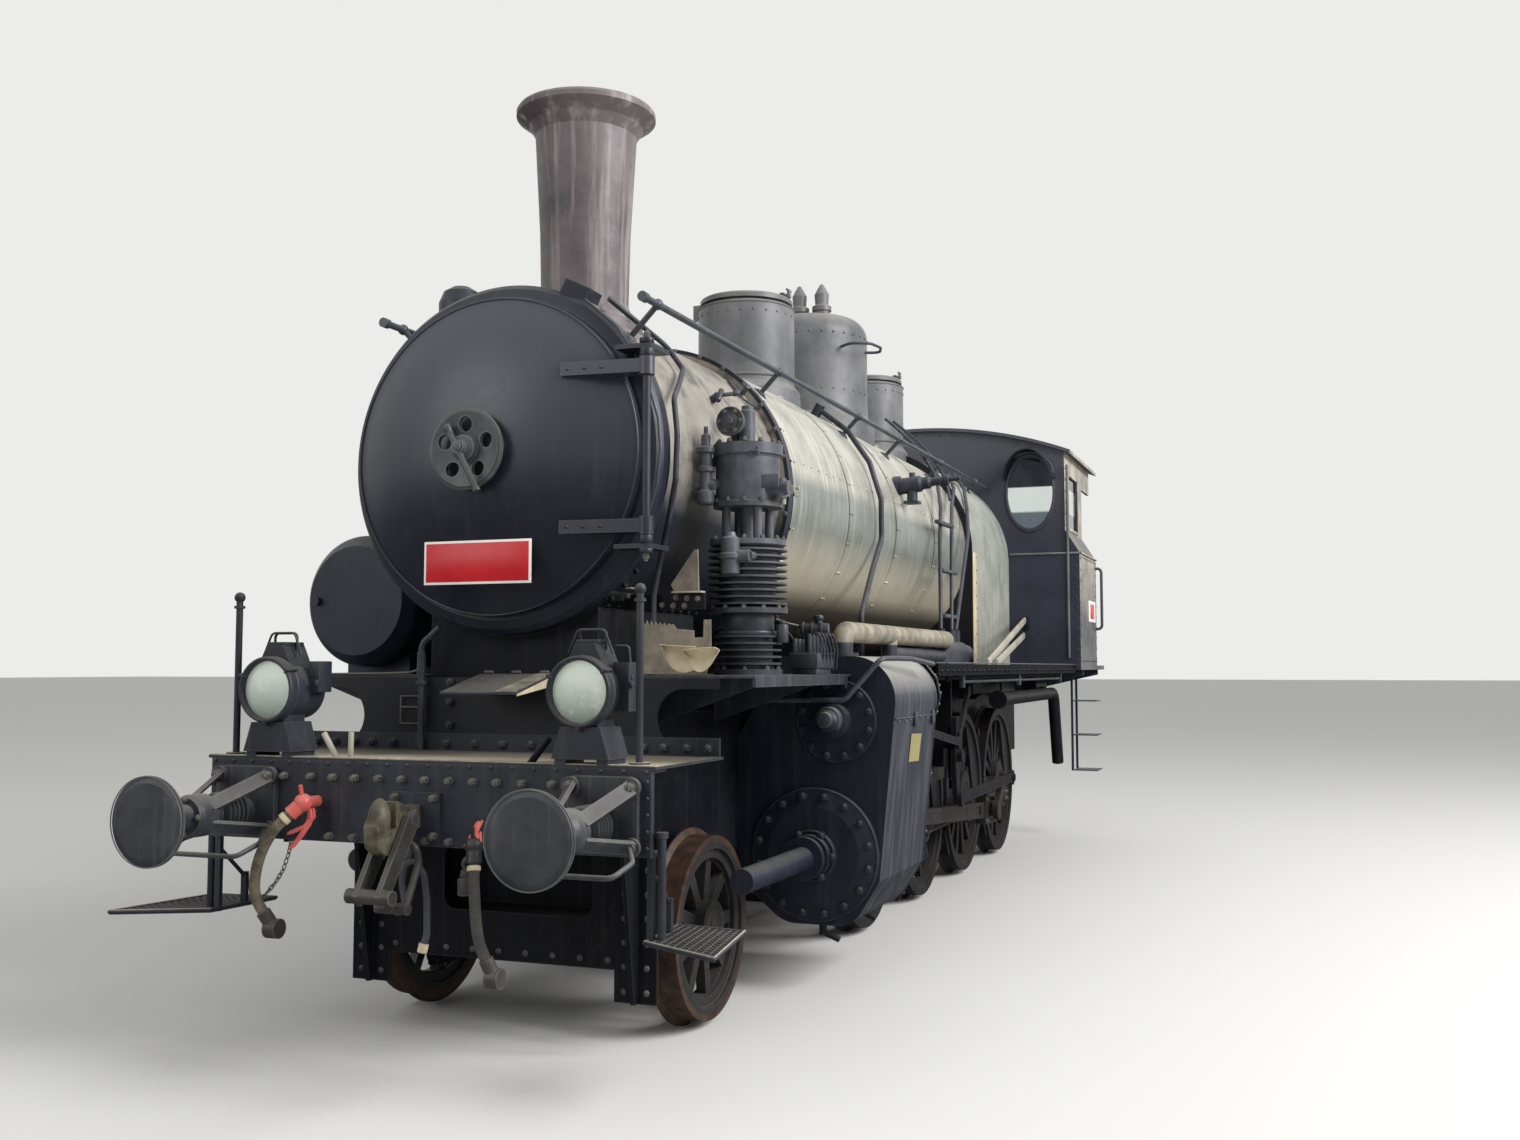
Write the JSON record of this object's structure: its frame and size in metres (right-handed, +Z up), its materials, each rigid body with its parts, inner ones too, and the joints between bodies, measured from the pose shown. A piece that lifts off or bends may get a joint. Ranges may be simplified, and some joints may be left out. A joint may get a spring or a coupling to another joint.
{
  "type": "steam locomotive",
  "caption": "Tender steam locomotive with a leading axle and coupled driving wheels, turning wheels and rods, opening smokebox door and sand lids.",
  "frame": {"origin": "middle of the bounding box at the height of the wheel flange tips, without the free brake hoses", "axes": "+Z up, the buffers face -Y, +X is the engine's own left side"},
  "size_m": [3.248, 10.62, 4.628],
  "materials": {
    "frame_black": "matt black paint with dust and oil",
    "beam_black": "matt black paint, worn at the edges",
    "buffer_steel": "worn black paint over steel",
    "smokebox_black": "heat-proof matt black",
    "chimney_black": "heat-browned matt black",
    "lagging_sheet": "dusty worn sheet steel lagging",
    "dome_black": "satin black paint",
    "valve_brass": "black painted castings",
    "wheel_black": "black paint with rusty treads",
    "rod_steel": "oiled dirty steel",
    "cylinder_black": "black paint over sheet and castings",
    "board_black": "worn black paint",
    "cab_black": "matt black paint",
    "window_glass": "clear window glass",
    "lamp_glass": "clear lamp glass",
    "lamp_black": "black painted sheet",
    "pump_iron": "painted cast iron",
    "tank_black": "satin black paint",
    "pipe_paint": "pale lagging paint",
    "cock_red": "red gloss paint",
    "hose_rubber": "aged rubber hose",
    "coupling_iron": "rusty cast iron"
  },
  "bodies": {
    "root": {"air_reservoir": "tank_black", "ashpan": "frame_black", "axle_boxes": "frame_black", "backhead_fittings": "pump_iron", "boiler_barrel": "lagging_sheet", "brake_gear": "frame_black", "brake_hose_left": "hose_rubber", "brake_hose_right": "hose_rubber", "buffer_beam": "beam_black", "buffer_plungers": "buffer_steel", "buffer_stocks": "beam_black", "cab_floor": "cab_black", "cab_front": "cab_black", "cab_roof": "cab_black", "cab_sides": "cab_black", "cab_windows": "window_glass", "chimney": "chimney_black", "compressor": "pump_iron", "cylinders": "cylinder_black", "draw_hook": "beam_black", "firebox": "lagging_sheet", "frame_plates": "frame_black", "frame_stretchers": "frame_black", "front_deck": "beam_black", "front_steps": "beam_black", "guard_irons": "frame_black", "handrails": "board_black", "headlamps": "lamp_black", "hose_cocks": "cock_red", "hose_couplings": "coupling_iron", "injector": "frame_black", "lamp_glasses": "lamp_glass", "leaf_springs": "frame_black", "motion_brackets": "frame_black", "running_boards": "board_black", "safety_valves": "valve_brass", "sand_domes": "dome_black", "slide_bars": "rod_steel", "smokebox": "smokebox_black", "smokebox_saddle": "smokebox_black", "steam_dome": "dome_black", "steam_pipes": "pipe_paint", "valve_gear": "frame_black"},
    "smokebox_door": {"smokebox_door": "smokebox_black", "door_handwheel": "smokebox_black"},
    "sand_lid_front": {"sand_lid_front": "dome_black"},
    "sand_lid_rear": {"sand_lid_rear": "dome_black"},
    "coupling_links": {"coupling_links": "beam_black"},
    "lead_wheelset": {"lead_wheelset": "wheel_black"},
    "coupled_wheelset_1": {"coupled_wheelset_1": "wheel_black"},
    "coupled_wheelset_2": {"coupled_wheelset_2": "wheel_black"},
    "coupled_wheelset_3": {"coupled_wheelset_3": "wheel_black"},
    "coupled_wheelset_4": {"coupled_wheelset_4": "wheel_black"},
    "coupling_rod_left": {"coupling_rod_left": "rod_steel"},
    "coupling_rod_right": {"coupling_rod_right": "rod_steel"},
    "main_rod_left": {"main_rod_left": "rod_steel"},
    "main_rod_right": {"main_rod_right": "rod_steel"},
    "crosshead_left": {"crosshead_left": "rod_steel"},
    "crosshead_right": {"crosshead_right": "rod_steel"}
  },
  "joints": [
    {"name": "lead_axle", "type": "hinge", "parent": "root", "child": "lead_wheelset", "pos_m": [0, -3.46, 0.463], "axis": [1, 0, 0], "continuous": true},
    {"name": "coupled_axle_1", "type": "hinge", "parent": "root", "child": "coupled_wheelset_1", "pos_m": [0, -0.86, 0.677], "axis": [1, 0, 0], "continuous": true},
    {"name": "coupled_axle_2", "type": "hinge", "parent": "root", "child": "coupled_wheelset_2", "pos_m": [0, 0.54, 0.677], "axis": [1, 0, 0], "continuous": true},
    {"name": "coupled_axle_3", "type": "hinge", "parent": "root", "child": "coupled_wheelset_3", "pos_m": [0, 1.94, 0.677], "axis": [1, 0, 0], "continuous": true},
    {"name": "coupled_axle_4", "type": "hinge", "parent": "root", "child": "coupled_wheelset_4", "pos_m": [0, 3.34, 0.677], "axis": [1, 0, 0], "continuous": true},
    {"name": "coupling_rod_left_pin", "type": "hinge", "parent": "coupled_wheelset_3", "child": "coupling_rod_left", "pos_m": [0.9, 1.64701, 0.55862], "axis": [1, 0, 0], "continuous": true},
    {"name": "crosshead_left_slide", "type": "slide", "parent": "root", "child": "crosshead_left", "axis": [0, 1, 0], "range_m": [-0.028, 0.6041]},
    {"name": "main_rod_left_pin", "type": "hinge", "parent": "crosshead_left", "child": "main_rod_left", "pos_m": [1.055, -0.74769, 0.718], "axis": [1, 0, 0], "range_deg": [-4.75, 10.39]},
    {"name": "coupling_rod_right_pin", "type": "hinge", "parent": "coupled_wheelset_3", "child": "coupling_rod_right", "pos_m": [-0.9, 2.05838, 0.38401], "axis": [1, 0, 0], "continuous": true},
    {"name": "crosshead_right_slide", "type": "slide", "parent": "root", "child": "crosshead_right", "axis": [0, 1, 0], "range_m": [-0.4574, 0.1747]},
    {"name": "main_rod_right_pin", "type": "hinge", "parent": "crosshead_right", "child": "main_rod_right", "pos_m": [-1.055, -0.31827, 0.718], "axis": [1, 0, 0], "range_deg": [-0.56, 14.58]},
    {"name": "smokebox_door_hinge", "type": "hinge", "parent": "root", "child": "smokebox_door", "pos_m": [0.8, -4.182, 2.675], "axis": [0, 0, 1], "range_deg": [0, 105]},
    {"name": "sand_lid_front_hinge", "type": "hinge", "parent": "root", "child": "sand_lid_front", "pos_m": [-0.345, -0.94, 4.148], "axis": [0, -1, 0], "range_deg": [0, 100]},
    {"name": "sand_lid_rear_hinge", "type": "hinge", "parent": "root", "child": "sand_lid_rear", "pos_m": [-0.31, 1.99, 4.158], "axis": [0, -1, 0], "range_deg": [0, 100]},
    {"name": "coupling_link_pin", "type": "hinge", "parent": "root", "child": "coupling_links", "pos_m": [0, -4.82, 1.078], "axis": [1, 0, 0], "range_deg": [-25, 10]}
  ],
  "couplings": [
    {"joint": "coupled_axle_1", "follows": "coupled_axle_3", "ratio": 1},
    {"joint": "coupled_axle_2", "follows": "coupled_axle_3", "ratio": 1},
    {"joint": "coupled_axle_4", "follows": "coupled_axle_3", "ratio": 1},
    {"joint": "coupling_rod_left_pin", "follows": "coupled_axle_3", "ratio": -1},
    {"joint": "coupling_rod_right_pin", "follows": "coupled_axle_3", "ratio": -1}
  ]
}
